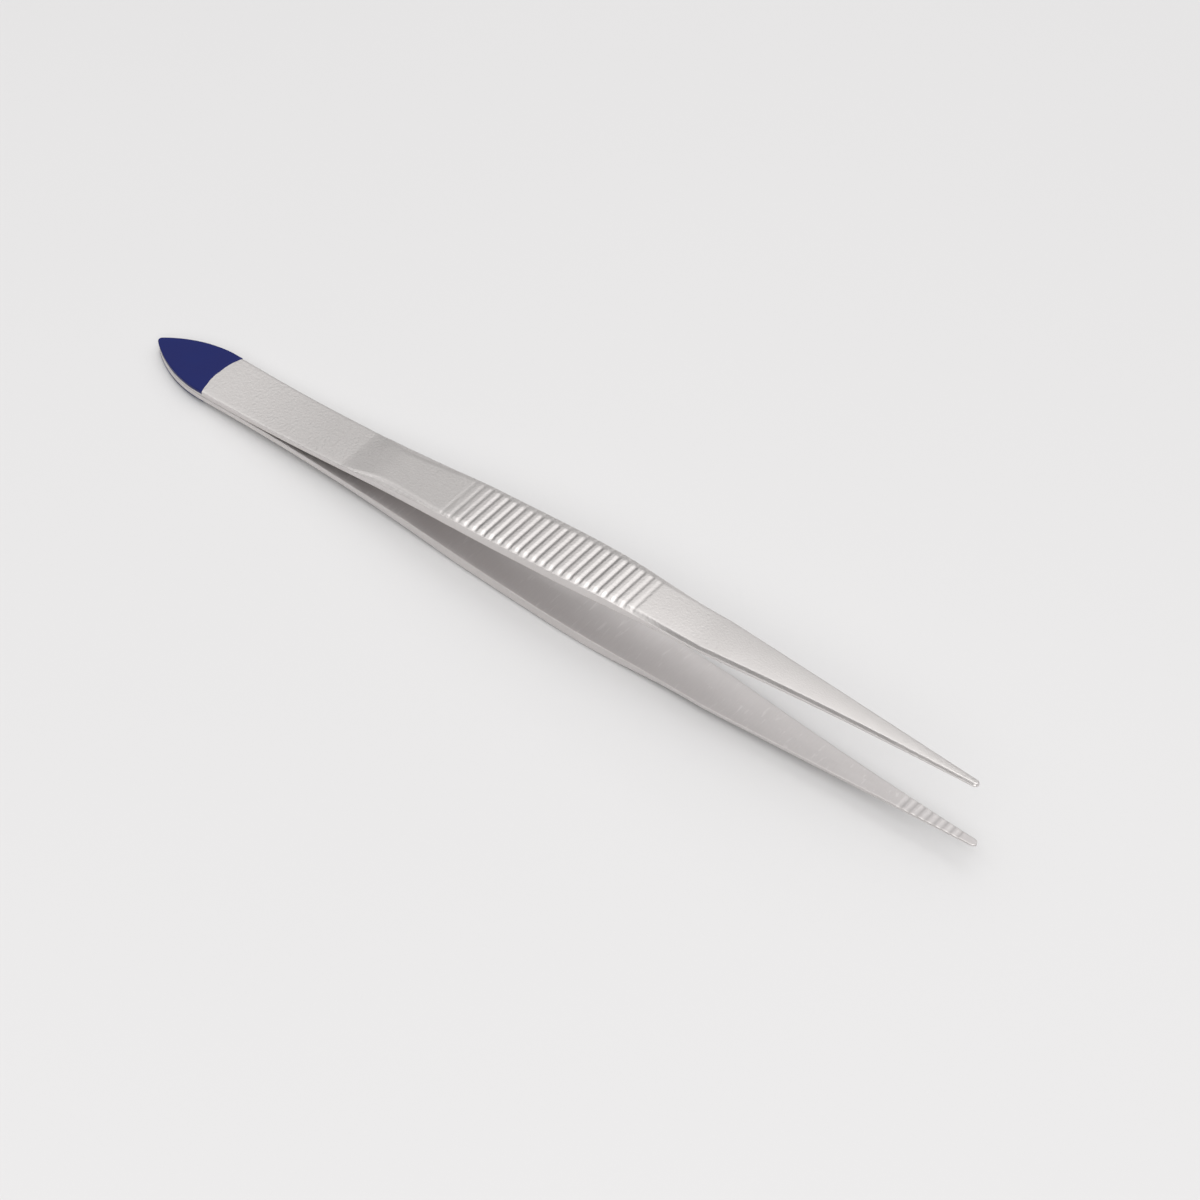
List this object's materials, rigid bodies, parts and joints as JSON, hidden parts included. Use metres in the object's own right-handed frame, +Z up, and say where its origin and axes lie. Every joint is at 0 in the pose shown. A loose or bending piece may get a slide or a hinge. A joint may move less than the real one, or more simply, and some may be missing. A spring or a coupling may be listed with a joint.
{
  "type": "tweezers",
  "caption": "Straight fine-point precision tweezers: two sprung steel arms welded at a painted heel, with ribbed grips and serrated jaw tips.",
  "frame": {"origin": "centre of the underside of the box that the pair fills as it lies on one arm, on the surface it lies on", "axes": "+X from the heel to the points, +Y across the arms, +Z up from the surface"},
  "size_m": [0.1502, 0.0088, 0.0166],
  "materials": {
    "steel": "satin, bead blasted and belt polished stainless steel",
    "weld": "fused resistance weld metal",
    "paint": "glossy dark blue enamel"
  },
  "bodies": {
    "heel": {"upper_heel": "steel", "lower_heel": "steel", "weld_nuggets": "weld", "upper_paint": "paint", "lower_paint": "paint"},
    "upper_arm": {"upper_body": "steel", "upper_grip": "steel", "upper_neck": "steel", "upper_jaw": "steel"},
    "lower_arm": {"lower_body": "steel", "lower_grip": "steel", "lower_neck": "steel", "lower_jaw": "steel"}
  },
  "joints": [
    {"name": "upper_arm_flex", "type": "hinge", "parent": "heel", "child": "upper_arm", "pos_m": [-0.04711, 0, 0.00355], "axis": [0, 1, 0], "range_deg": [0, 2.76], "stiffness_Nm_per_rad": 3},
    {"name": "lower_arm_flex", "type": "hinge", "parent": "heel", "child": "lower_arm", "pos_m": [-0.04702, 0, 0.00199], "axis": [0, -1, 0], "range_deg": [0, 2.76], "stiffness_Nm_per_rad": 3}
  ]
}
